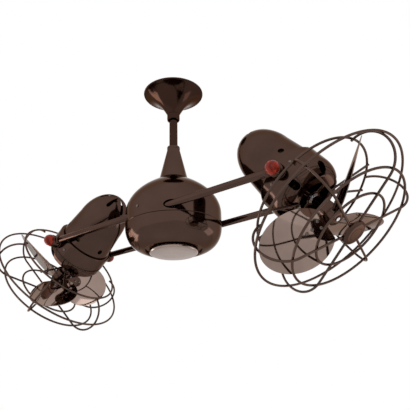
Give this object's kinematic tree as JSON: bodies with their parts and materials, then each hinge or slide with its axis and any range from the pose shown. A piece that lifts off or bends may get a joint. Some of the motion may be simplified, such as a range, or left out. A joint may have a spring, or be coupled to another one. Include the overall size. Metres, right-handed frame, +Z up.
{
  "type": "twin head ceiling fan",
  "caption": "Ceiling fan on a downrod: a free turning housing carries parallel bars, with a tilting motor head and caged blades at each end of the bars.",
  "frame": {"origin": "centre of the ceiling bracket's two screw slots, on the ceiling plane", "axes": "+Z up through the ceiling, +X along the two bars towards the head that is on the right in the picture, +Y to the back"},
  "size_m": [0.9918, 0.3344, 0.5227],
  "materials": {
    "zinc_steel": "zinc plated steel, satin",
    "bronze": "polished dark bronze lacquer over steel, glossy",
    "cast_bronze": "cast aluminium, polished dark bronze lacquer",
    "dark_wire": "dark bronze lacquer on steel wire, glossy",
    "bronze_blade": "aluminium sheet, mirror polished dark bronze lacquer",
    "bearing_steel": "ground bearing steel",
    "core_steel": "laminated electrical steel",
    "motor_core": "laminated steel with varnished copper end windings",
    "slip_ring": "moulded black drum with three copper tracks",
    "brush": "moulded black holder with copper-graphite brushes",
    "wood_ball": "turned hardwood, red-brown gloss lacquer",
    "cast_carrier": "bare cast aluminium"
  },
  "bodies": {
    "ceiling_mount": {"ceiling_bracket": "zinc_steel", "hanger_pin": "zinc_steel", "canopy": "bronze", "set_screws": "zinc_steel", "downrod": "bronze", "cone_cover": "bronze", "spindle": "bearing_steel", "spindle_nut": "zinc_steel", "bearing_inner_races": "bearing_steel", "slip_ring": "slip_ring"},
    "turntable": {"carrier": "cast_carrier", "bearing_outer_races": "bearing_steel", "upper_shell": "bronze", "lower_shell": "bronze", "bottom_cap": "cast_bronze", "front_bar": "bronze", "rear_bar": "bronze", "bar_clamps": "zinc_steel", "housing_screws": "zinc_steel", "brush_block": "brush", "right_bar_hubs": "cast_bronze", "left_bar_hubs": "cast_bronze"},
    "right_head": {"right_head_shell": "cast_bronze", "right_front_cover": "cast_bronze", "right_stator": "motor_core", "right_bearings": "bearing_steel", "right_guard_rings": "dark_wire", "right_guard_spokes": "dark_wire", "right_guard_struts": "dark_wire", "right_guard_cap": "cast_bronze", "right_head_screws": "zinc_steel", "right_pivot_studs": "zinc_steel"},
    "right_fan": {"right_rotor": "core_steel", "right_motor_shaft": "bearing_steel", "right_blade_hub": "cast_bronze", "right_blade_1": "bronze_blade", "right_blade_2": "bronze_blade", "right_blade_3": "bronze_blade", "right_blade_rivets": "zinc_steel"},
    "right_front_knob": {"right_front_knob": "wood_ball"},
    "right_rear_knob": {"right_rear_knob": "wood_ball"},
    "left_head": {"left_head_shell": "cast_bronze", "left_front_cover": "cast_bronze", "left_stator": "motor_core", "left_bearings": "bearing_steel", "left_guard_rings": "dark_wire", "left_guard_spokes": "dark_wire", "left_guard_struts": "dark_wire", "left_guard_cap": "cast_bronze", "left_head_screws": "zinc_steel", "left_pivot_studs": "zinc_steel"},
    "left_fan": {"left_rotor": "core_steel", "left_motor_shaft": "bearing_steel", "left_blade_hub": "cast_bronze", "left_blade_1": "bronze_blade", "left_blade_2": "bronze_blade", "left_blade_3": "bronze_blade", "left_blade_rivets": "zinc_steel"},
    "left_front_knob": {"left_front_knob": "wood_ball"},
    "left_rear_knob": {"left_rear_knob": "wood_ball"}
  },
  "joints": [
    {"name": "main_turn", "type": "hinge", "parent": "ceiling_mount", "child": "turntable", "pos_m": [0, 0, -0.3], "axis": [0, 0, 1], "continuous": true},
    {"name": "right_tilt", "type": "hinge", "parent": "turntable", "child": "right_head", "pos_m": [0.3017, 0, -0.3272], "axis": [0, 1, 0], "range_deg": [-141.1, 38.9]},
    {"name": "right_fan_spin", "type": "hinge", "parent": "right_head", "child": "right_fan", "pos_m": [0.3017, 0, -0.3272], "axis": [0.628, 0, -0.7782], "continuous": true},
    {"name": "right_front_knob_turn", "type": "hinge", "parent": "right_head", "child": "right_front_knob", "pos_m": [0.3017, -0.0948, -0.3272], "axis": [0, -1, 0], "range_deg": [0, 360]},
    {"name": "right_rear_knob_turn", "type": "hinge", "parent": "right_head", "child": "right_rear_knob", "pos_m": [0.3017, 0.0948, -0.3272], "axis": [0, 1, 0], "range_deg": [0, 360]},
    {"name": "left_tilt", "type": "hinge", "parent": "turntable", "child": "left_head", "pos_m": [-0.3017, 0, -0.3272], "axis": [0, -1, 0], "range_deg": [-128, 52]},
    {"name": "left_fan_spin", "type": "hinge", "parent": "left_head", "child": "left_fan", "pos_m": [-0.3017, 0, -0.3272], "axis": [-0.788, 0, -0.6157], "continuous": true},
    {"name": "left_front_knob_turn", "type": "hinge", "parent": "left_head", "child": "left_front_knob", "pos_m": [-0.3017, -0.0948, -0.3272], "axis": [0, -1, 0], "range_deg": [0, 360]},
    {"name": "left_rear_knob_turn", "type": "hinge", "parent": "left_head", "child": "left_rear_knob", "pos_m": [-0.3017, 0.0948, -0.3272], "axis": [0, 1, 0], "range_deg": [0, 360]}
  ]
}
